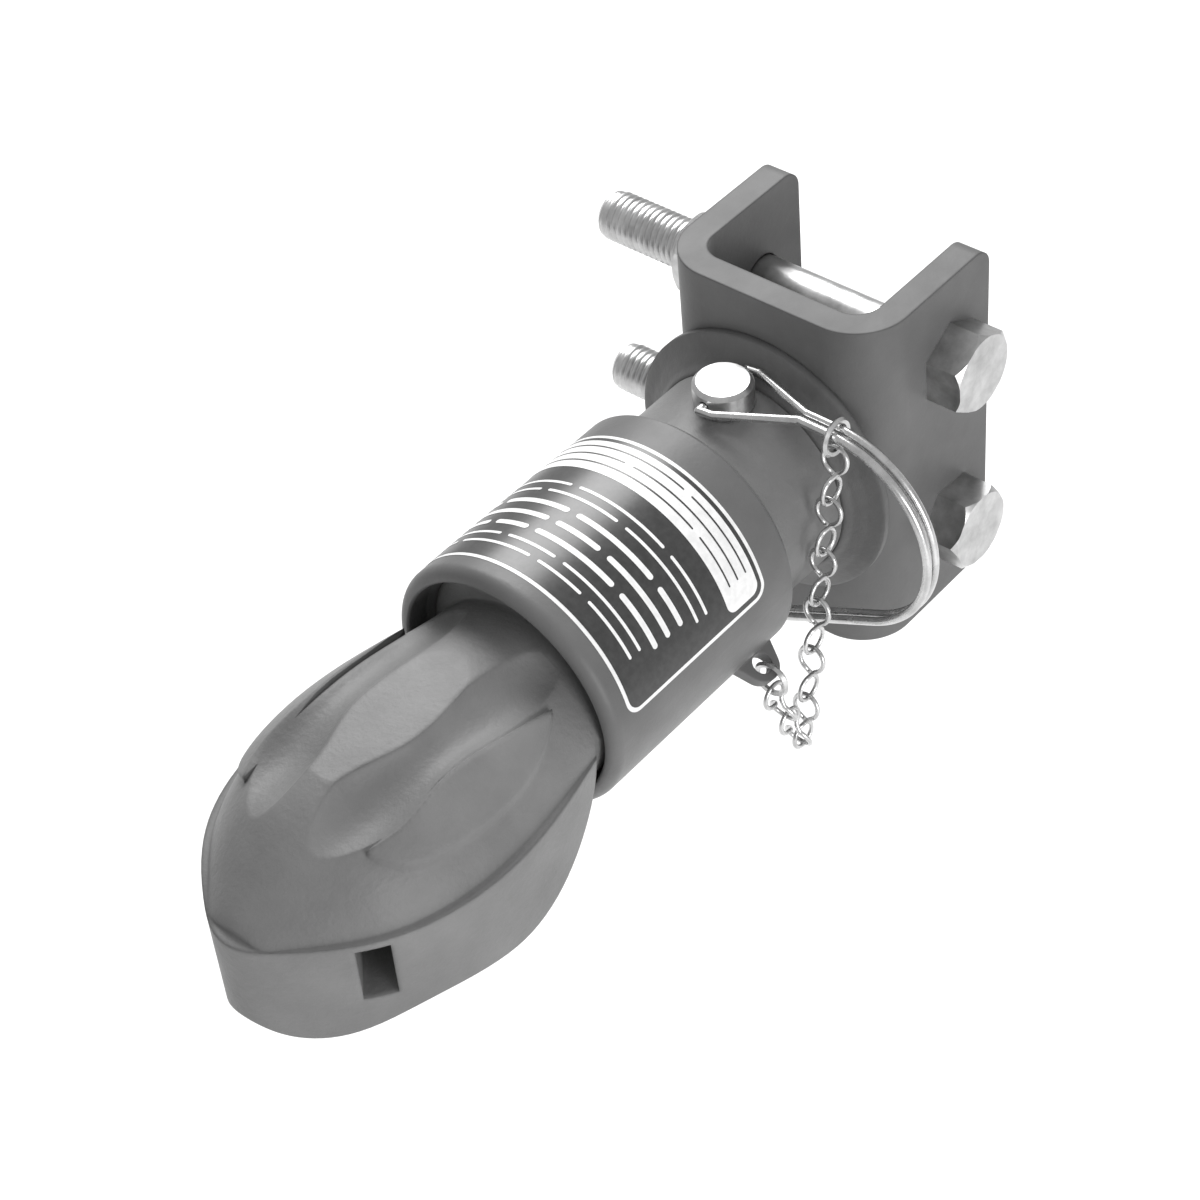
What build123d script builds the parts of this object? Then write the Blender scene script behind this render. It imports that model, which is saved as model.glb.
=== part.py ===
from build123d import *
from math import acos, atan2, cos, degrees, pi, radians, sin, sqrt
import os

os.makedirs("parts", exist_ok=True)

# Sizes in millimetres. X runs from the trailer tongue to the nose, Z is up.
# The origin is the centre of the rear face of the bracket web, on the shank axis.

# Channel bracket
plate = 9.525
channel_width = 82.55
channel_depth = 61.7
channel_height = 127.0
channel_drop = 1.1
channel_bend_r = 18.0
leg_corner_r = 7.0

# Channel bolts
bolt_r = 7.94
bolt_hole_gap = 0.4
bolt_x = -31.5
bolt_pitch = 64.5
bolt_row_z = -1.0
bolt_head_af = 25.4
bolt_head_h = 12.5
bolt_length = 136.2
bolt_end_chamfer = 1.4
nut_af = 25.4
nut_h = 13.5
lock_washer_r = 13.0
lock_washer_t = 4.0
lock_washer_split = 2.2
nut_thread_gap = 0.05
upper_head_turn = 28.0
lower_head_turn = 4.0

# Shank and its weld to the web
shank_r = 36.0
weld_r = 47.5
weld_length = 9.0
weld_edge = 2.5

# Safety pin and its wire lock
pin_x = 28.8
pin_r = 5.5
pin_hole_gap = 0.25
pin_tip_z = -46.0
pin_tip_chamfer = 1.6
pin_head_r = 9.6
pin_head_h = 8.4
pin_head_chamfer = 1.3
pin_seat_gap = 0.3
wire_r = 1.4
wire_hole_gap = 0.3
wire_hole_up = 4.4
wire_side_gap = 0.4
wire_stub = 4.2
strand_gap = 0.35
strand_pair_gap = 1.0
tip_gap = 1.0
bow_r = 36.0
bow_y = 40.5
hook_reach_y = 5.0
pair_start_y = 30.0

# Locking collar
collar_back_x = 50.0
collar_length = 86.5
collar_wall = 6.3
collar_bore_gap = 0.3
collar_edge_r = 3.8
collar_back_chamfer = 2.6
mouth_wall = 4.8
mouth_depth = 11.0
mouth_lead = 3.0
ear_x = 64.5
ear_angle = -35.0
ear_hole_up = 3.6
ear_half_length = 8.5
ear_tip_r = 6.0
ear_thickness = 4.4
ear_hole_r = 3.4
ear_sink = 2.5

# Head
head_r = 46.0
head_nose_x = 253.5
head_mid_x = 186.0
head_neck_x = 134.0
head_back_x = 104.0
head_back_step = 6.0
neck_swell = 1.0
shoulder_x = 224.0
shoulder_half = 36.4
tip_x = 246.5
tip_half = 15.4
head_lip = 3.6
dome_back_x = 122.0
dome_back_sink = 1.5
dome_hip_x = 140.0
dome_hip_sink = 5.5
head_edge_z = -2.0
head_top_z = 27.2
head_crown = 30.5
head_bottom = -45.5
slot_width = 10.0
slot_height = 20.0
slot_top_z = -4.5
slot_x = 228.0
slot_y = 31.0
slot_turn = 44.0
slot_depth = 36.0
panel_raise = 1.9
panel_back = (146.0, 28.5)
panel_front = (218.0, 23.5)
panel_outside = [(212.0, 32.2), (198.0, 37.0), (181.0, 38.4), (162.0, 35.8)]
groove_stations = [(134.0, -1.5), (160.0, 2.2), (188.0, 3.4), (206.0, 3.0), (222.0, 0.0), (240.0, -9.0)]
groove_back_y = 24.0
groove_front_y = 16.0
groove_axis_z = 32.0
neck_step = 1.0
head_round_r = 57.0
round_shoulder_x = 226.0
round_shoulder_r = 49.0
round_nose_r = 31.4

# Ball socket
ball_r = 29.37
ball_gap = 0.45
ball_x = 194.5
ball_z = -7.0
ball_lip = 5.5
throat_flare = 3.0

# Lower jaw
jaw_half = 22.0
jaw_side_gap = 0.35
jaw_pivot_x = 71.5
jaw_pivot_z = -14.0
jaw_pin_r = 5.0
jaw_pin_gap = 0.05
jaw_pin_sink = 0.5
jaw_knuckle_r = 12.5
jaw_knuckle_gap = 0.5
jaw_top_gap = 0.5
jaw_front_x = 176.0
jaw_toe_bottom = -44.5
jaw_drop_angle = 20.0
collar_travel = 22.0
jaw_relief_gap = 0.35
jaw_heel = 16.0
relief_steps = 8
relief_spare_angle = 1.5

# Chain between the wire lock and the collar ear
link_wire_r = 0.95
link_loop_r = 3.4
link_waist = 0.5
wire_sides = 5
link_play = 0.12
ring_play = 0.4
end_ring_r = 5.5
links_down = 10
links_up = 3
low_link_tilt = 15.0
wire_top_z = 44.4


def ring(radius, wire, centre, normal):
    # One loop of bent wire, its section a many-sided outline
    section = Pos(radius, 0, 0) * Rot(90, 0, 0) * RegularPolygon(wire * 1.06, wire_sides)
    return Plane(origin=centre, z_dir=normal).location * revolve(section, Axis.Z, 360)


def hex_prism(across_flats, height, turn):
    return extrude(RegularPolygon(across_flats / 2, 6, major_radius=False, rotation=turn), height)


# Places that several pieces share
channel_half = channel_width / 2
web_front = plate
bolt_rows = {"upper": bolt_row_z + bolt_pitch / 2, "lower": bolt_row_z - bolt_pitch / 2}
head_turns = {"upper": upper_head_turn, "lower": lower_head_turn}
collar_bore_r = shank_r + collar_bore_gap
collar_r = collar_bore_r + collar_wall
collar_front_x = collar_back_x + collar_length
pin_seat_z = shank_r + pin_seat_gap
wire_axis_z = pin_seat_z + wire_hole_up
ball_space_r = ball_r + ball_gap
strand_half = pin_r + strand_gap + wire_r
head_neck_half = shank_r + neck_swell
jaw_pin_half = sqrt((shank_r - jaw_pin_sink) ** 2 - (abs(jaw_pivot_z) + jaw_pin_r) ** 2)

# Channel bracket: one plate bent to a U, legs towards the tongue
outer = Rectangle(channel_depth, channel_width)
outer_box = Pos(web_front - channel_depth / 2, 0) * outer
inner_depth = channel_depth - plate + 2 * channel_bend_r
inner_box = Pos(-inner_depth / 2, 0) * Rectangle(inner_depth, channel_width - 2 * plate)
outer_bend = fillet(outer_box.vertices().sort_by(Axis.X)[-2:], channel_bend_r)
inner_bend = fillet(inner_box.vertices().sort_by(Axis.X)[-2:], channel_bend_r - plate)
channel = extrude(outer_bend - inner_bend, channel_height)
channel_bottom = -channel_height / 2 - channel_drop
channel = Pos(0, 0, channel_bottom) * channel
leg_edges = channel.edges().filter_by(Axis.Y).group_by(Axis.X)[0]
channel = fillet(leg_edges, leg_corner_r)
bolt_hole_r = bolt_r + bolt_hole_gap
for bolt_z in bolt_rows.values():
    hole = Cylinder(bolt_hole_r, channel_width + 2 * plate)
    channel -= Pos(bolt_x, 0, bolt_z) * Rot(90, 0, 0) * hole
channel_bracket = channel

# Weld between the web and the shank
weld_section = make_face(
    Polyline(
        (web_front, shank_r),
        (web_front, weld_r),
        (web_front + weld_edge, weld_r),
        (web_front + weld_edge * 1.7, weld_r - weld_edge * 2),
        (web_front + weld_length * 0.72, shank_r + weld_edge),
        (web_front + weld_length, shank_r + 0.3),
        (web_front + weld_length, shank_r),
        close=True,
    )
)
base_weld = revolve(weld_section, Axis.X, 360)

# Wall of the head: a plan outline from the neck to the nose, mirrored
plan_side = Spline(
    (head_back_x, head_neck_half - head_back_step),
    (head_neck_x, head_neck_half),
    (head_mid_x, head_r),
    (shoulder_x, shoulder_half),
    (tip_x, tip_half),
    (head_nose_x, 0),
    tangents=[(1, 0.18), (0, -1)],
)
plan_other_side = mirror(plan_side, Plane.XZ)
plan_back = Line(plan_side @ 0, plan_other_side @ 0)
head_plan = make_face([plan_side.edge(), plan_other_side.edge(), plan_back.edge()])
wall = Pos(0, 0, head_bottom) * extrude(head_plan, head_edge_z - head_bottom)

# Upper head: an ogive turned about an axis below the parting edge, flattened on top
dome_half = head_r - head_lip
dome_nose = head_nose_x - head_lip
dome_sink = (dome_half**2 - head_crown**2) / (2 * head_crown)
dome_stations = [
    (dome_back_x, shank_r - dome_back_sink),
    (dome_hip_x, dome_half - dome_hip_sink),
    (head_mid_x, dome_half),
    (shoulder_x, shoulder_half - head_lip),
    (tip_x, tip_half - head_lip),
    (dome_nose, 0),
]
dome_low = min(head_edge_z, 0)


def turned_dome(grow):
    points = [(x, sqrt(half**2 + dome_sink**2) + grow) for x, half in dome_stations]
    edge = Spline(*points, tangents=[(1, 0.1), (0.1, -1)])
    back = Polyline(points[-1], (dome_nose, 0), (dome_back_x, 0), points[0])
    dome = Pos(0, 0, -dome_sink) * revolve(make_face([edge, *back.edges()]), Axis.X, 360)
    keep_length = head_nose_x - dome_back_x
    keep_height = head_top_z - dome_low
    keep = Box(keep_length, 4 * head_r, keep_height)
    return dome & Pos(dome_back_x + keep_length / 2, 0, dome_low + keep_height / 2) * keep


def dome_rise(x, y):
    # Height of the dome over a point of its plan
    half = 0.0
    for (x0, half0), (x1, half1) in zip(dome_stations, dome_stations[1:]):
        if x0 <= x <= x1:
            half = half0 + (half1 - half0) * (x - x0) / (x1 - x0)
    return sqrt(max(half**2 + dome_sink**2 - y**2, 0)) - dome_sink


# Raised panel and waisted groove on each side of the flat top
dome = turned_dome(0)
panel_shell = turned_dome(panel_raise)
groove_start_x = groove_stations[0][0]
groove_run = groove_stations[-1][0] - groove_start_x
groove_slope = (groove_front_y - groove_back_y) / groove_run
groove_lean = atan2(groove_slope, 1)
groove_points = []
for x, deep in groove_stations:
    y = groove_back_y + groove_slope * (x - groove_start_x)
    radius = groove_axis_z - dome_rise(x, y) + deep
    groove_points.append(((x - groove_start_x) / cos(groove_lean), radius))
groove_edge = Spline(*groove_points)
groove_shut = Polyline(groove_points[-1], (groove_points[-1][0], 0), (0, 0), groove_points[0])
groove_tool = revolve(make_face([groove_edge, *groove_shut.edges()]), Axis.X, 360)
for side in (1, -1):
    back = (panel_back[0], side * panel_back[1])
    front = (panel_front[0], side * panel_front[1])
    outside = Spline(front, *[(x, side * y) for x, y in panel_outside], back)
    panel_plan = make_face([Line(back, front).edge(), outside.edge()])
    dome += panel_shell & extrude(panel_plan, 2 * head_top_z, dir=(0, 0, 1))
    groove = Rot(0, 0, side * degrees(groove_lean)) * groove_tool
    dome -= Pos(groove_start_x, side * groove_back_y, groove_axis_z) * groove

# One turned form rounds the head to the neck, the bottom and the nose
limit_start_x = collar_front_x + neck_step
limit_nose_x = head_nose_x + neck_step
limit_spline = Spline(
    (limit_start_x, shank_r - 0.1),
    (head_mid_x, head_round_r),
    (round_shoulder_x, round_shoulder_r),
    (limit_nose_x, round_nose_r),
    tangents=[(1, 0.9), (0.5, -1)],
)
limit_back_x = head_back_x - plate
limit_edges = Polyline(
    limit_spline @ 1,
    (limit_nose_x, 0),
    (limit_back_x, 0),
    (limit_back_x, shank_r - 0.1),
    limit_spline @ 0,
)
head_limit = revolve(make_face([limit_spline, *limit_edges.edges()]), Axis.X, 360)
head = (wall & head_limit) + (dome & head_limit)
shank_end_x = collar_front_x - mouth_depth + 0.5
shank = Pos((web_front + shank_end_x) / 2, 0, 0) * Rot(0, 90, 0) * Cylinder(shank_r, shank_end_x - web_front)
body = shank + head

# Pocket for the jaw, socket and way in for the ball, pin hole and slots
jaw_top_z = jaw_pivot_z + jaw_knuckle_r
pocket_half = jaw_half + jaw_side_gap
pocket_back_x = jaw_pivot_x - jaw_knuckle_r - jaw_knuckle_gap
pocket_top_z = jaw_top_z + jaw_top_gap
pocket_low = head_bottom - 10
pocket_length = ball_x - pocket_back_x
pocket_height = pocket_top_z - pocket_low
pocket_centre = (pocket_back_x + pocket_length / 2, 0, pocket_low + pocket_height / 2)
body -= Pos(*pocket_centre) * Box(pocket_length, 2 * pocket_half, pocket_height)
body -= Pos(ball_x, 0, ball_z) * Sphere(ball_space_r)
throat_height = ball_z - pocket_low
body -= Pos(ball_x - ball_lip, 0, pocket_low + throat_height / 2) * Cylinder(ball_space_r, throat_height)
throat_cone = Cone(ball_space_r + throat_flare, ball_space_r - throat_flare, 2 * throat_flare)
body -= Pos(ball_x - ball_lip, 0, head_bottom) * throat_cone
body -= Pos(pin_x, 0, 0) * Cylinder(pin_r + pin_hole_gap, 4 * shank_r)
body -= Pos(jaw_pivot_x, 0, jaw_pivot_z) * Rot(90, 0, 0) * Cylinder(jaw_pin_r + jaw_pin_gap, 4 * shank_r)
for side in (1, -1):
    slot = Box(slot_depth, slot_width, slot_height)
    body -= Pos(slot_x, side * slot_y, slot_top_z - slot_height / 2) * Rot(0, 0, side * slot_turn) * slot
coupler_body = body

# Lower jaw: tongue with a relief that lets it turn inside the collar
jaw_side = make_face(
    Polyline(
        (jaw_pivot_x, jaw_top_z),
        (jaw_front_x, jaw_top_z),
        (jaw_front_x, jaw_toe_bottom + 4),
        (jaw_front_x - 4, jaw_toe_bottom),
        (collar_front_x + jaw_heel, jaw_toe_bottom),
        (collar_front_x + neck_step, -shank_r),
        (jaw_pivot_x, -shank_r),
        close=True,
    )
)
jaw_side += Pos(jaw_pivot_x, jaw_pivot_z) * Circle(jaw_knuckle_r)
jaw = Rot(90, 0, 0) * extrude(jaw_side, jaw_half, both=True)
turn_per_mm = radians(jaw_drop_angle + relief_spare_angle) / collar_travel
relief_end = collar_front_x + neck_step
relief_sections = []
for step in range(relief_steps + 1):
    x = jaw_pivot_x + (relief_end - jaw_pivot_x) * step / relief_steps
    rise = turn_per_mm * (relief_end - x) * (x - jaw_pivot_x)
    relief_sections.append(Plane(origin=(x, 0, rise), z_dir=(1, 0, 0)) * Circle(shank_r - jaw_relief_gap))
relief_tube = loft(relief_sections)
below = Pos((jaw_pivot_x + relief_end) / 2, 0, -shank_r) * Box(relief_end - jaw_pivot_x, 4 * jaw_half, 2 * shank_r)
jaw -= below - relief_tube
jaw -= Pos(jaw_pivot_x, 0, jaw_pivot_z) * Rot(90, 0, 0) * Cylinder(jaw_pin_r + jaw_pin_gap, 4 * jaw_half)
jaw -= Pos(ball_x, 0, ball_z) * Sphere(ball_space_r)
lower_jaw = jaw
jaw_pivot_pin = Pos(jaw_pivot_x, 0, jaw_pivot_z) * Rot(90, 0, 0) * Cylinder(jaw_pin_r, 2 * jaw_pin_half)

# Locking collar with its mouth and chain ear
mouth_r = collar_r - mouth_wall
collar_section = Polyline(
    (collar_back_x, collar_bore_r + 0.8),
    (collar_back_x, collar_r - collar_back_chamfer),
    (collar_back_x + collar_back_chamfer, collar_r),
    (collar_front_x, collar_r),
    (collar_front_x, mouth_r + 0.6),
    (collar_front_x - 0.6, mouth_r),
    (collar_front_x - mouth_depth + mouth_lead, mouth_r),
    (collar_front_x - mouth_depth, collar_bore_r),
    (collar_back_x + 0.8, collar_bore_r),
    close=True,
)
collar_face = make_face(collar_section)
front_corner = collar_face.vertices().sort_by(Axis.X)[-2:].sort_by(Axis.Y)[-1]
collar_face = fillet(front_corner, collar_edge_r)
collar = revolve(collar_face, Axis.X, 360)
ear_hole_radius = collar_r + ear_hole_up
ear_plan = make_hull(
    [
        *(Pos(0, ear_hole_radius) * Circle(ear_tip_r)).edges(),
        *(Pos(0, collar_r - ear_sink + 0.5) * Rectangle(2 * ear_half_length, 1)).edges(),
    ]
)
ear = extrude(ear_plan, ear_thickness / 2, both=True)
ear -= Pos(0, ear_hole_radius) * Cylinder(ear_hole_r, 2 * ear_thickness)
ear = Pos(ear_x, 0, 0) * Rot(ear_angle, 0, 0) * ear
collar -= Rot(ear_angle, 0, 0) * Pos(ear_x, 0, 0) * Pos(0, ear_hole_radius) * Cylinder(ear_hole_r, 2 * ear_thickness)
locking_collar = collar + ear

# Safety pin
pin_shaft_len = pin_seat_z + 1.0 - pin_tip_z
pin_shaft = Pos(pin_x, 0, pin_tip_z + pin_shaft_len / 2) * Cylinder(pin_r, pin_shaft_len)
pin_shaft = chamfer(pin_shaft.edges().sort_by(Axis.Z)[0], pin_tip_chamfer)
pin_head = Pos(pin_x, 0, pin_seat_z + pin_head_h / 2) * Cylinder(pin_head_r, pin_head_h)
pin_head = chamfer(pin_head.edges().sort_by(Axis.Z)[-1], pin_head_chamfer)
safety_pin = pin_shaft + pin_head
wire_hole = Pos(pin_x, 0, wire_axis_z) * Rot(0, 90, 0) * Cylinder(wire_r + wire_hole_gap, 4 * pin_head_r)
safety_pin -= wire_hole

# Wire lock: hooks in the pin head, rings the shank and closes under the pin tip
ear_ring_radius = ear_hole_radius + end_ring_r
chain_side = ear_ring_radius * cos(radians(ear_angle))
head_side = pin_head_r + wire_side_gap + wire_r + 0.6
pair_half = wire_r + strand_pair_gap / 2
loop_r = pin_r + strand_gap + wire_r
loop_z = pin_tip_z - wire_r - tip_gap
loop_reach_y = loop_r - 0.4
bow_z = wire_top_z - bow_r
to_loop_y = loop_reach_y - bow_y
to_loop_z = loop_z - bow_z
leave_angle = degrees(atan2(to_loop_z, to_loop_y) + acos(bow_r / sqrt(to_loop_y**2 + to_loop_z**2)))
bow_end_y = bow_y + bow_r * cos(radians(leave_angle))
bow_end_z = bow_z + bow_r * sin(radians(leave_angle))


def rod(start, end):
    way = Vector(*end) - Vector(*start)
    middle = (Vector(*start) + Vector(*end)) / 2
    return Plane(origin=middle, z_dir=way).location * Cylinder(wire_r, way.length)


bail_wire = Pos(pin_x, 0, loop_z) * Torus(loop_r, wire_r)
for side in (1, -1):
    pair_x = pin_x + side * pair_half
    hook_x = pin_x + side * head_side
    stub_x = pin_x + side * (pin_head_r - wire_stub)
    bends = [
        (stub_x, 0, wire_axis_z),
        (hook_x, 0, wire_axis_z),
        (hook_x, hook_reach_y, wire_axis_z + 0.6),
        (pair_x, pair_start_y, wire_top_z),
        (pair_x, bow_y, wire_top_z),
    ]
    for start, end in zip(bends, bends[1:]):
        bail_wire += rod(start, end)
    for bend in bends[1:-1]:
        bail_wire += Pos(*bend) * Sphere(wire_r)
    bow_section = Plane(origin=(pair_x, bow_y, wire_top_z), z_dir=(0, 1, 0)) * Circle(wire_r)
    bow_axis = Axis((pair_x, bow_y, bow_z), (-1, 0, 0))
    bail_wire += revolve(bow_section, bow_axis, 90 - leave_angle)
    bail_wire += rod((pair_x, bow_end_y, bow_end_z), (pair_x, loop_reach_y, loop_z))

# Bolts, split washers and nuts
fasteners = {}
for row, z in bolt_rows.items():
    shaft = extrude(Circle(bolt_r), bolt_length)
    shaft = chamfer(shaft.edges().sort_by(Axis.Z)[-1], bolt_end_chamfer)
    hex_head = Pos(0, 0, -bolt_head_h) * hex_prism(bolt_head_af, bolt_head_h, head_turns[row])
    crown = Cone(bolt_head_af * 0.5 + 0.2, bolt_head_af * 0.5 + 0.2 + bolt_head_h, bolt_head_h, align=Align.CENTER)
    hex_head &= Pos(0, 0, -bolt_head_h / 2) * crown
    bolt = Pos(bolt_x, channel_half, z) * Rot(90, 0, 0) * (shaft + hex_head)
    washer = extrude(Circle(lock_washer_r) - Circle(bolt_r + bolt_hole_gap), lock_washer_t)
    washer -= Pos(lock_washer_r, 0, 0) * Rot(20, 0, 0) * Box(2 * lock_washer_r, lock_washer_split, 4 * lock_washer_t)
    washer = Pos(bolt_x, -channel_half, z) * Rot(90, 0, 0) * Rot(0, 0, 60) * washer
    nut = hex_prism(nut_af, nut_h, head_turns[row]) - Cylinder(bolt_r + nut_thread_gap, 4 * nut_h)
    nut_round = Cone(nut_af * 0.5 + 0.2 + nut_h, nut_af * 0.5 + 0.2, nut_h)
    nut &= Pos(0, 0, nut_h / 2) * nut_round
    nut = Pos(bolt_x, -channel_half - lock_washer_t, z) * Rot(90, 0, 0) * nut
    fasteners[row + "_bolt"] = bolt
    fasteners[row + "_lock_washer"] = washer
    fasteners[row + "_nut"] = nut

# Chain: double-loop links from the wire lock down and up to the ear
link_pitch = 4 * link_loop_r - link_waist - 2 * link_wire_r - link_play
top_rise = sqrt((end_ring_r - link_wire_r - wire_r - ring_play) ** 2 - pair_half**2)
top_ring_z = wire_top_z - top_rise
ear_ring_z = ear_ring_radius * sin(radians(ear_angle))
start_x = pin_x
start_z = top_ring_z - (end_ring_r - 2 * link_wire_r - link_play)
end_x = ear_x
end_z = ear_ring_z - end_ring_r + 0.0
tilt = radians(low_link_tilt)
goal_x = end_x - link_pitch * cos(tilt)
goal_z = end_z - link_pitch * sin(tilt)
down_length = links_down * link_pitch
up_length = links_up * link_pitch
span = sqrt((goal_x - start_x) ** 2 + (goal_z - start_z) ** 2)
swing = acos((down_length**2 + span**2 - up_length**2) / (2 * down_length * span))
down_angle = atan2(goal_z - start_z, goal_x - start_x) - swing
low_x = start_x + down_length * cos(down_angle)
low_z = start_z + down_length * sin(down_angle)
up_angle = atan2(goal_z - low_z, goal_x - low_x)
link_angles = [down_angle] * links_down + [tilt] + [up_angle] * links_up


def chain_link(x, z, angle):
    # A figure eight of wire: first loop across the chain plane, second loop in it
    way = Vector(cos(angle), 0, sin(angle))
    first = Vector(x, chain_side, z) + way * link_loop_r
    second = first + way * (2 * link_loop_r - link_waist)
    across = way.cross(Vector(0, 1, 0))
    return ring(link_loop_r, link_wire_r, first, across) + ring(link_loop_r, link_wire_r, second, (0, 1, 0))


chain = {}
chain["chain_wire_ring"] = ring(end_ring_r, link_wire_r, (start_x, chain_side, top_ring_z), (0, 1, 0))
link_x = start_x
link_z = start_z
for number, angle in enumerate(link_angles, 1):
    chain[f"chain_link_{number:02d}"] = chain_link(link_x, link_z, angle)
    link_x += link_pitch * cos(angle)
    link_z += link_pitch * sin(angle)
chain["chain_ear_ring"] = ring(end_ring_r, link_wire_r, (ear_x, chain_side, ear_ring_z), (1, 0, 0))

nodes = {
    "channel_bracket": channel_bracket,
    "base_weld": base_weld,
    "coupler_body": coupler_body,
    "lower_jaw": lower_jaw,
    "jaw_pivot_pin": jaw_pivot_pin,
    "locking_collar": locking_collar,
    "safety_pin": safety_pin,
    "bail_wire": bail_wire,
    **fasteners,
    **chain,
}
for name, shape in nodes.items():
    export_step(shape, f"parts/{name}.step")
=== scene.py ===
import math

import bpy
from mathutils import Matrix, Vector


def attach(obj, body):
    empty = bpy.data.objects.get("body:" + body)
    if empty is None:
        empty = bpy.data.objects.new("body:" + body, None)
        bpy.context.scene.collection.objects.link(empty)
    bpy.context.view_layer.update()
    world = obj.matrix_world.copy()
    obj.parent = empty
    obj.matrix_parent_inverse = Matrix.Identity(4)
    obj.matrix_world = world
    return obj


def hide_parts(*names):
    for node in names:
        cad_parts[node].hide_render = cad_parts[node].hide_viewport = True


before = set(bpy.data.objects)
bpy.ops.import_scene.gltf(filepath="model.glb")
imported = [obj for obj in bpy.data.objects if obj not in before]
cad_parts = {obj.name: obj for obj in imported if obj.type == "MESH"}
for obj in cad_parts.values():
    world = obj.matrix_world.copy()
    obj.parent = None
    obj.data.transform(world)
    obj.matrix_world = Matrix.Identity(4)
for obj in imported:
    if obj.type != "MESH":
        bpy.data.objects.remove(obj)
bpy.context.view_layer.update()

MM = 0.001

# Camera of the photograph: place and turn in the row frame
CAM_PLACE = Vector((564.906, 451.26, 619.545)) * MM
CAM_RIGHT = Vector((-0.6361945, 0.7679661, -0.0740593))
CAM_UP = Vector((-0.5645825, -0.3979768, 0.7230913))
CAM_BACK = Vector((0.5258356, 0.5018393, 0.6867709))
LENS = 89.68

# Sizes repeated from the CAD, in millimetres
COLLAR_R = 42.6
BALL_CENTRE = (194.5, 0, -7.0)
SOCKET_R = 29.82
SOCKET_SHADE_EDGE = 0.4  # how far past the hollow's wall the painted shade reaches
# Colour of the painted shade inside the ball's hollow
SOCKET_SHADE_TONE = 0.03
BOLT_X = -31.5
BOLT_R = 7.94
BOLT_Z = (31.25, -33.25)
BOLT_END_Y = -94.93
NUT_END_Y = -58.9


def mesh_object(name, verts, faces, smooth=True):
    mesh = bpy.data.meshes.new(name)
    mesh.from_pydata([tuple(v) for v in verts], [], faces)
    mesh.validate()
    mesh.update()
    for face in mesh.polygons:
        face.use_smooth = smooth
    obj = bpy.data.objects.new(name, mesh)
    bpy.context.scene.collection.objects.link(obj)
    return obj


def new_material(name):
    mat = bpy.data.materials.new(name)
    mat.use_nodes = True
    nodes = mat.node_tree.nodes
    return mat, nodes, mat.node_tree.links, nodes["Principled BSDF"]


def add_noise(nodes, links, scale, detail=4.0, rough=0.55):
    coord = nodes.new("ShaderNodeTexCoord")
    noise = nodes.new("ShaderNodeTexNoise")
    noise.inputs["Scale"].default_value = scale
    noise.inputs["Detail"].default_value = detail
    noise.inputs["Roughness"].default_value = rough
    links.new(coord.outputs["Object"], noise.inputs["Vector"])
    return noise


def ramp(nodes, links, source, stops):
    node = nodes.new("ShaderNodeValToRGB")
    node.color_ramp.elements[0].position = stops[0][0]
    node.color_ramp.elements[0].color = (*stops[0][1], 1)
    node.color_ramp.elements[1].position = stops[-1][0]
    node.color_ramp.elements[1].color = (*stops[-1][1], 1)
    for place, colour in stops[1:-1]:
        stop = node.color_ramp.elements.new(place)
        stop.color = (*colour, 1)
    links.new(source, node.inputs["Fac"])
    return node.outputs["Color"]


def paint(name, dark, light, rough, grain, strength, soft):
    # Sprayed paint over a rough casting or plate, with edges softened over the length soft
    mat, nodes, links, shader = new_material(name)
    cloud = add_noise(nodes, links, 38.0, 5.0)
    colour = ramp(nodes, links, cloud.outputs["Fac"], [(0.3, (dark,) * 3), (0.72, (light,) * 3)])
    links.new(colour, shader.inputs["Base Color"])
    haze = add_noise(nodes, links, 120.0, 3.0)
    span = nodes.new("ShaderNodeMapRange")
    span.inputs["To Min"].default_value = rough - 0.06
    span.inputs["To Max"].default_value = rough + 0.1
    links.new(haze.outputs["Fac"], span.inputs["Value"])
    links.new(span.outputs["Result"], shader.inputs["Roughness"])
    shader.inputs["Specular IOR Level"].default_value = 0.32
    shader.inputs["Coat Weight"].default_value = 0.04
    shader.inputs["Coat Roughness"].default_value = 0.3
    fine = add_noise(nodes, links, grain, 6.0, 0.62)
    bump = nodes.new("ShaderNodeBump")
    bump.inputs["Strength"].default_value = strength
    bump.inputs["Distance"].default_value = 0.0006
    bevel = nodes.new("ShaderNodeBevel")
    bevel.samples = 8
    bevel.inputs["Radius"].default_value = soft
    links.new(bevel.outputs["Normal"], bump.inputs["Normal"])
    links.new(fine.outputs["Fac"], bump.inputs["Height"])
    links.new(bump.outputs["Normal"], shader.inputs["Normal"])
    return mat


def zinc(name, dark, light, rough):
    # Bright zinc plate with faint cloudy stains
    mat, nodes, links, shader = new_material(name)
    cloud = add_noise(nodes, links, 160.0, 5.0, 0.6)
    colour = ramp(nodes, links, cloud.outputs["Fac"], [(0.3, (dark,) * 3), (0.7, (light,) * 3)])
    links.new(colour, shader.inputs["Base Color"])
    shader.inputs["Metallic"].default_value = 1.0
    span = nodes.new("ShaderNodeMapRange")
    span.inputs["To Min"].default_value = rough - 0.07
    span.inputs["To Max"].default_value = rough + 0.12
    links.new(cloud.outputs["Fac"], span.inputs["Value"])
    links.new(span.outputs["Result"], shader.inputs["Roughness"])
    fine = add_noise(nodes, links, 900.0, 3.0)
    bump = nodes.new("ShaderNodeBump")
    bump.inputs["Strength"].default_value = 0.12
    bump.inputs["Distance"].default_value = 0.0002
    links.new(fine.outputs["Fac"], bump.inputs["Height"])
    links.new(bump.outputs["Normal"], shader.inputs["Normal"])
    return mat


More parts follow.
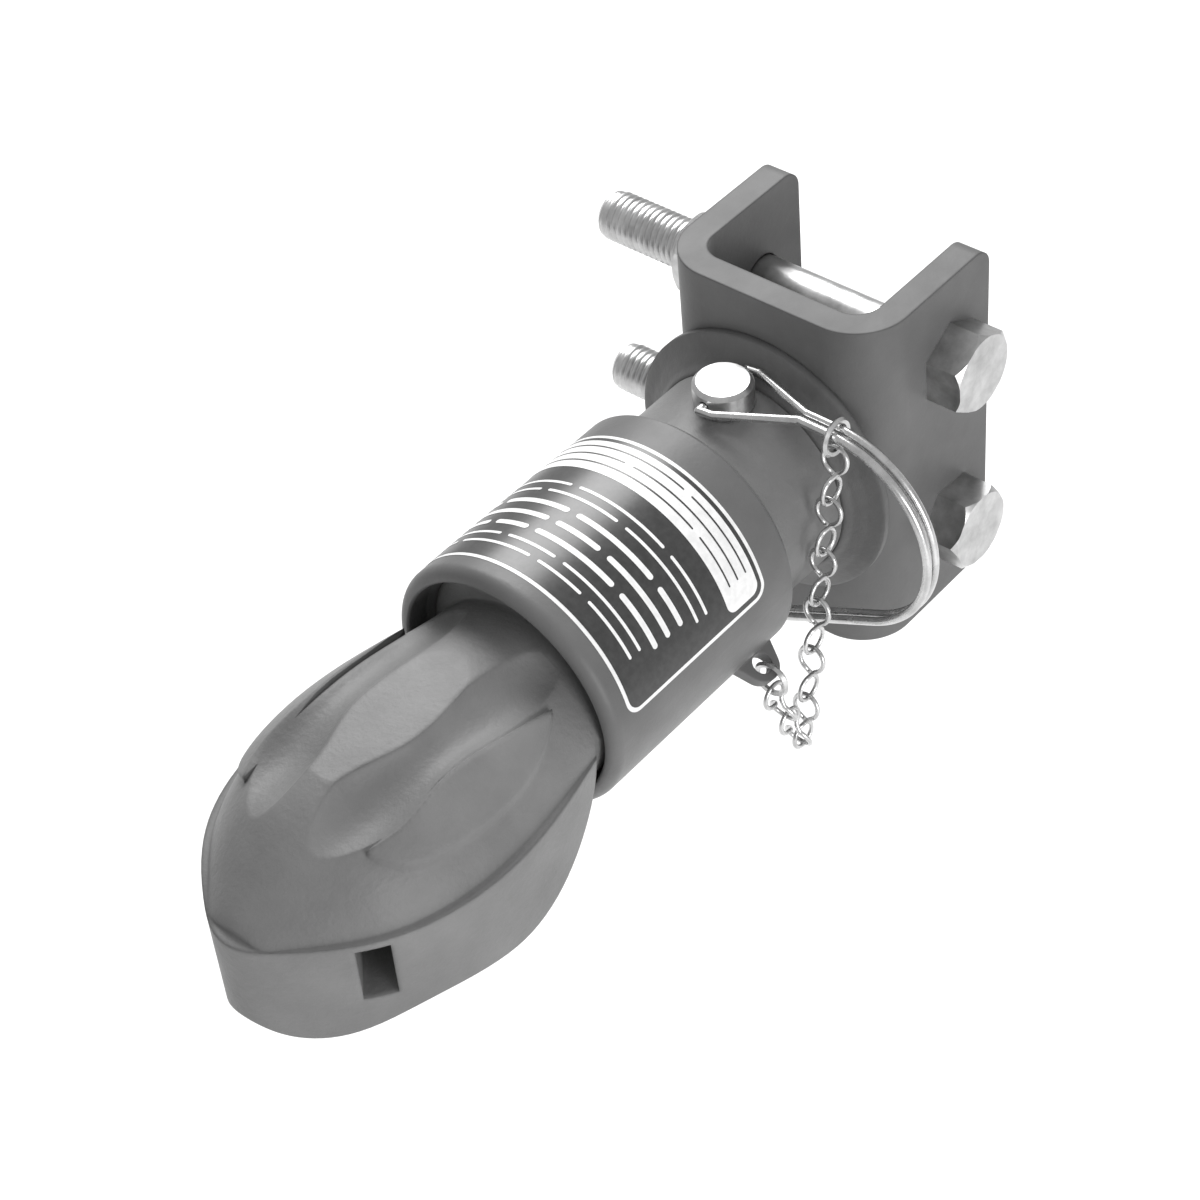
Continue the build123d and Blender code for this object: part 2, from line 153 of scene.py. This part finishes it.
def print_ink(name, dark, light, rough):
    # Ink or film of the label, with a slight mottle
    mat, nodes, links, shader = new_material(name)
    cloud = add_noise(nodes, links, 420.0, 4.0)
    colour = ramp(nodes, links, cloud.outputs["Fac"], [(0.35, (dark,) * 3), (0.65, (light,) * 3)])
    links.new(colour, shader.inputs["Base Color"])
    shader.inputs["Roughness"].default_value = rough
    shader.inputs["Coat Weight"].default_value = 0.3
    shader.inputs["Coat Roughness"].default_value = 0.25
    return mat


def paint_socket_shade(mat):
    # Painted shade: the hollow for the ball is coloured near-black inside a sphere around the ball's centre,
    # standing in for the shade inside the socket
    nodes, links = mat.node_tree.nodes, mat.node_tree.links
    base = nodes["Principled BSDF"].inputs["Base Color"]
    painted = base.links[0].from_socket
    coord = nodes.new("ShaderNodeTexCoord")
    reach = nodes.new("ShaderNodeVectorMath")
    reach.operation = "DISTANCE"
    reach.inputs[1].default_value = Vector(BALL_CENTRE) * MM
    links.new(coord.outputs["Object"], reach.inputs[0])
    inside = nodes.new("ShaderNodeMath")
    inside.operation = "LESS_THAN"
    inside.inputs[1].default_value = (SOCKET_R + SOCKET_SHADE_EDGE) * MM
    links.new(reach.outputs["Value"], inside.inputs[0])
    mix = nodes.new("ShaderNodeMix")
    mix.data_type = "RGBA"
    factor, colour_a, colour_b = mix.inputs[0], mix.inputs[6], mix.inputs[7]
    links.new(inside.outputs["Value"], factor)
    links.new(painted, colour_a)
    colour_b.default_value = (SOCKET_SHADE_TONE, SOCKET_SHADE_TONE, SOCKET_SHADE_TONE, 1)
    links.new(mix.outputs[2], base)


cast_paint = paint("cast_paint", 0.165, 0.215, 0.46, 520.0, 0.45, 0.0026)
# Painted shade inside the ball's hollow of the cast body and jaw
paint_socket_shade(cast_paint)
collar_paint = paint("collar_paint", 0.12, 0.155, 0.42, 700.0, 0.18, 0.0008)
plate_paint = paint("plate_paint", 0.105, 0.135, 0.5, 420.0, 0.2, 0.0012)
weld_paint = paint("weld_paint", 0.1, 0.14, 0.5, 260.0, 0.6, 0.002)
zinc_plate = zinc("zinc_plate", 0.42, 0.66, 0.3)
zinc_wire = zinc("zinc_wire", 0.5, 0.72, 0.24)
film_white = print_ink("film_white", 0.8, 0.9, 0.4)
film_dark = print_ink("film_dark", 0.03, 0.045, 0.38)

finish = {
    "channel_bracket": plate_paint,
    "base_weld": weld_paint,
    "coupler_body": cast_paint,
    "lower_jaw": cast_paint,
    "jaw_pivot_pin": zinc_plate,
    "locking_collar": collar_paint,
    "safety_pin": zinc_plate,
    "bail_wire": zinc_wire,
}
for name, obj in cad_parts.items():
    mat = finish.get(name)
    if mat is None:
        mat = zinc_wire if name.startswith("chain") else zinc_plate
    if not obj.material_slots:
        obj.data.materials.append(mat)
    for held in obj.material_slots:
        held.material = mat

# Threads: a helical ridge on the free end of each bolt


def thread(name, z_place):
    pitch = 2.309  # 11 threads to the inch
    half = 1.0
    crest = BOLT_R + 0.62
    root = BOLT_R - 0.05
    per_turn = 40
    run_in = 30  # steps over which the ridge rises from the root
    start = NUT_END_Y - 0.6
    turns = (start - BOLT_END_Y - 1.8) / pitch
    steps = int(turns * per_turn)
    verts = []
    faces = []
    for i in range(steps + 1):
        angle = 2 * math.pi * i / per_turn
        along = start - pitch * i / per_turn
        ease = min(1.0, i / run_in, (steps - i) / run_in)
        top = root + (crest - root) * ease
        for radius, shift in ((root, half), (top, 0.16), (top, -0.16), (root, -half)):
            x = BOLT_X + radius * math.cos(angle)
            z = z_place + radius * math.sin(angle)
            verts.append(Vector((x, along + shift, z)) * MM)
        if i:
            for k in range(3):
                a = 4 * (i - 1) + k
                faces.append((a, a + 1, a + 5, a + 4))
    obj = mesh_object(name, verts, faces)
    obj.data.materials.append(zinc_plate)
    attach(obj, "coupler")


thread("upper_thread", BOLT_Z[0])
thread("lower_thread", BOLT_Z[1])

# Label: bent film with a border, a dark field, a pale panel and plain ruled bars
LABEL_BACK = 64.425
LABEL_FRONT = 128.725
LABEL_BORDER = 1.3
PANEL_INSET = 2.8
PANEL_FRONT = 17.0  # where the pale panel ends, from the label's back edge
LABEL_START = math.radians(9)
LABEL_END = math.radians(171)
label_verts = []
label_faces = []
label_kinds = []


def patch(x0, x1, a0, a1, corner, lift, kind):
    radius = COLLAR_R + lift
    t0 = a0 * radius
    t1 = a1 * radius
    corner = min(corner, (x1 - x0) / 2, (t1 - t0) / 2)
    places = []
    bend = 8 if corner > 0.5 else 3
    for i in range(bend + 1):
        places.append(t0 + corner * (1 - math.cos(math.pi / 2 * i / bend)))
    straight = max(1, int((t1 - t0 - 2 * corner) / 1.6))
    for i in range(1, straight):
        places.append(t0 + corner + (t1 - t0 - 2 * corner) * i / straight)
    for i in range(bend, -1, -1):
        places.append(t1 - corner * (1 - math.cos(math.pi / 2 * i / bend)))
    first = len(label_verts)
    for i, t in enumerate(places):
        edge = min(t - t0, t1 - t)
        cut = 0.0
        if edge < corner:
            cut = corner - math.sqrt(max(corner**2 - (corner - edge) ** 2, 0.0))
        angle = t / radius
        for x in (x0 + cut, x1 - cut):
            label_verts.append(Vector((x, radius * math.cos(angle), radius * math.sin(angle))) * MM)
        if i:
            a = first + 2 * (i - 1)
            label_faces.append((a, a + 1, a + 3, a + 2))
            label_kinds.append(kind)


def rule(x, height, a0, a1, lift, kind):
    # One plain ruled bar along the girth of the collar
    patch(x - height / 2, x + height / 2, math.radians(a0), math.radians(a1), height / 2, lift, kind)


patch(LABEL_BACK, LABEL_FRONT, LABEL_START, LABEL_END, 5.0, 0.10, 0)
rim = LABEL_BORDER / COLLAR_R
patch(LABEL_BACK + LABEL_BORDER, LABEL_FRONT - LABEL_BORDER, LABEL_START + rim, LABEL_END - rim, 4.0, 0.16, 1)
panel_start = LABEL_START + 2.4 * rim
panel_end = math.radians(152)
patch(LABEL_BACK + PANEL_INSET, LABEL_BACK + PANEL_FRONT, panel_start, panel_end, 3.4, 0.22, 0)
for x, height, stops in (
    (8.0, 1.1, (30, 58, 62, 84, 88, 126, 130, 150)),
    (12.2, 1.1, (30, 76, 80, 104, 108, 150)),
    (17.6, 2.0, (26, 52, 56, 96, 100, 118, 122, 152)),
    (23.4, 2.0, (26, 66, 70, 92, 96, 152)),
    (29.2, 2.0, (26, 44, 48, 88, 92, 128, 132, 152)),
    (35.0, 1.1, (22, 70, 74, 110, 114, 148)),
    (39.2, 1.1, (22, 50, 54, 98, 102, 148)),
):
    for first, last in zip(stops[::2], stops[1::2]):
        rule(LABEL_FRONT - x, height, first, last, 0.24, 0)
for x, stops in ((5.6, (24, 62, 66, 140)), (9.4, (24, 88, 92, 140)), (13.2, (24, 48, 52, 140))):
    for first, last in zip(stops[::2], stops[1::2]):
        rule(LABEL_BACK + x, 0.6, first, last, 0.28, 1)
label = mesh_object("collar_label", label_verts, label_faces)
label.data.materials.append(film_white)
label.data.materials.append(film_dark)
for face, kind in zip(label.data.polygons, label_kinds):
    face.material_index = kind
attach(label, "collar")

# Chain: twisted double-loop links hung from the wire lock and the collar ear
CHAIN_Y = 42.35
LINK_WIRE = 0.78
LOOP_R = 4.5
WAIST = 5.5
END_WIRE = 0.95
END_RING = 5.5
START = (28.8, 42.41)
END = (64.5, -29.65)
LINK_PLAY = 0.12
TWIST_LENGTH = 3.2
DOWN, UP = 6, 2
link_pitch = 2 * (LOOP_R + WAIST) - 2 * LINK_WIRE - LINK_PLAY
hook = END_RING - END_WIRE - LINK_WIRE - LINK_PLAY
start = Vector((START[0], START[1] - hook))
end = Vector((END[0], END[1] - END_RING + 0.1))
span = (end - start).length
down_length, up_length = DOWN * link_pitch, UP * link_pitch
swing = math.acos((down_length**2 + span**2 - up_length**2) / (2 * down_length * span))
down_angle = math.atan2(end.y - start.y, end.x - start.x) - swing
low = start + down_length * Vector((math.cos(down_angle), math.sin(down_angle)))
up_angle = math.atan2(end.y - low.y, end.x - low.x)


def link_outline():
    # One side of the closed wire, then the other side back, as (along, aside)
    lean = math.asin((LINK_WIRE + 0.1) / LOOP_R)
    side = []
    for i in range(17):
        turn = math.pi - (math.pi - lean) * i / 16
        side.append((-WAIST + LOOP_R * math.cos(turn), LOOP_R * math.sin(turn)))
    for i in range(17):
        turn = math.pi - lean - (math.pi - lean) * i / 16
        side.append((WAIST + LOOP_R * math.cos(turn), LOOP_R * math.sin(turn)))
    back = [(x, -y) for x, y in reversed(side[1:-1])]
    return side + back


def wire_tube(name, path, radius, sides=10):
    # A closed tube of round wire along the points of path
    count = len(path)
    verts = []
    faces = []
    normal = None
    frames = []
    for i in range(count):
        tangent = (path[(i + 1) % count] - path[i - 1]).normalized()
        if normal is None:
            normal = tangent.orthogonal().normalized()
        normal = (normal - tangent * normal.dot(tangent)).normalized()
        frames.append((tangent, normal.copy()))
    first = frames[0][1]
    tangent = frames[0][0]
    last = (normal - tangent * normal.dot(tangent)).normalized()
    slip = math.atan2(last.cross(first).dot(tangent), last.dot(first))
    for i, (tangent, normal) in enumerate(frames):
        other = tangent.cross(normal)
        for k in range(sides):
            turn = 2 * math.pi * k / sides + slip * i / count
            verts.append((path[i] + radius * (math.cos(turn) * normal + math.sin(turn) * other)) * MM)
    for i in range(count):
        j = (i + 1) % count
        for k in range(sides):
            m = (k + 1) % sides
            faces.append((i * sides + k, i * sides + m, j * sides + m, j * sides + k))
    return mesh_object(name, verts, faces)


def scene_link(name, place, angle, body, nodes):
    way = Vector((math.cos(angle), 0, math.sin(angle)))
    across = Vector((0, 1, 0))
    normal = way.cross(across)
    origin = Vector((place.x, CHAIN_Y, place.y)) + way * (LOOP_R + WAIST)
    outline = link_outline()
    for _ in range(2):
        count = len(outline)
        outline = [
            tuple((outline[i - 1][k] + 2 * outline[i][k] + outline[(i + 1) % count][k]) / 4 for k in (0, 1))
            for i in range(count)
        ]
    path = []
    for along, aside in outline:
        share = min(max(along / TWIST_LENGTH + 0.5, 0.0), 1.0)
        twist = math.pi / 2 * share * share * (3 - 2 * share)
        spread = math.cos(twist) * across + math.sin(twist) * normal
        path.append(origin + way * along + spread * aside)
    obj = wire_tube(name, path, LINK_WIRE)
    obj.data.materials.append(zinc_wire)
    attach(obj, body)
    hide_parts(*nodes)


down_nodes = (("01", "02"), ("03", "04"), ("05",), ("06", "07"), ("08",), ("09", "10"))
hung = [(down_angle, "pin", nodes) for nodes in down_nodes]
hung.append((up_angle, "collar", ("11", "12")))
hung.append((up_angle, "collar", ("13", "14")))
place = start.copy()
for number, (angle, body, nodes) in enumerate(hung, 1):
    scene_link(f"wire_link_{number}", place, angle, body, [f"chain_link_{n}" for n in nodes])
    place += link_pitch * Vector((math.cos(angle), math.sin(angle)))

# Stage: a pale floor and soft light
floor_z = -0.30
floor_half = 6.0
corners = [(x * floor_half, y * floor_half, floor_z) for x, y in ((-1, -1), (1, -1), (1, 1), (-1, 1))]
floor = mesh_object("floor", corners, [(0, 1, 2, 3)])
floor_mat, nodes, links, shader = new_material("floor_paper")
paper = add_noise(nodes, links, 2.0, 2.0)
pale = ramp(nodes, links, paper.outputs["Fac"], [(0.3, (0.95,) * 3), (0.7, (0.97,) * 3)])
links.new(pale, shader.inputs["Base Color"])
shader.inputs["Roughness"].default_value = 0.9
floor.data.materials.append(floor_mat)


def area_light(name, place, aim, size, power):
    data = bpy.data.lights.new(name, "AREA")
    data.shape = "SQUARE"
    data.size = size
    data.energy = power
    obj = bpy.data.objects.new(name, data)
    obj.location = place
    obj.rotation_euler = (Vector(aim) - Vector(place)).to_track_quat("-Z", "Y").to_euler()
    bpy.context.scene.collection.objects.link(obj)


area_light("key", (-0.46, -0.55, 0.80), (0.1, 0, 0), 0.7, 13.5)
area_light("side", (0.4, 1.15, 0.2), (0.15, 0, 0), 0.6, 7.5)
world = bpy.data.worlds.new("studio")
bpy.context.scene.world = world
world.use_nodes = True
world.node_tree.nodes["Background"].inputs["Color"].default_value = (1, 1, 1, 1)
world.node_tree.nodes["Background"].inputs["Strength"].default_value = 0.55

camera_data = bpy.data.cameras.new("photo_view")
camera_data.lens = LENS
camera_data.sensor_width = 36.0
camera_data.clip_start = 0.01
camera = bpy.data.objects.new("photo_view", camera_data)
turn = Matrix((CAM_RIGHT, CAM_UP, CAM_BACK)).transposed()
camera.matrix_world = Matrix.Translation(CAM_PLACE) @ turn.to_4x4()
bpy.context.scene.collection.objects.link(camera)
bpy.context.scene.camera = camera
bpy.context.scene.view_settings.view_transform = "Standard"
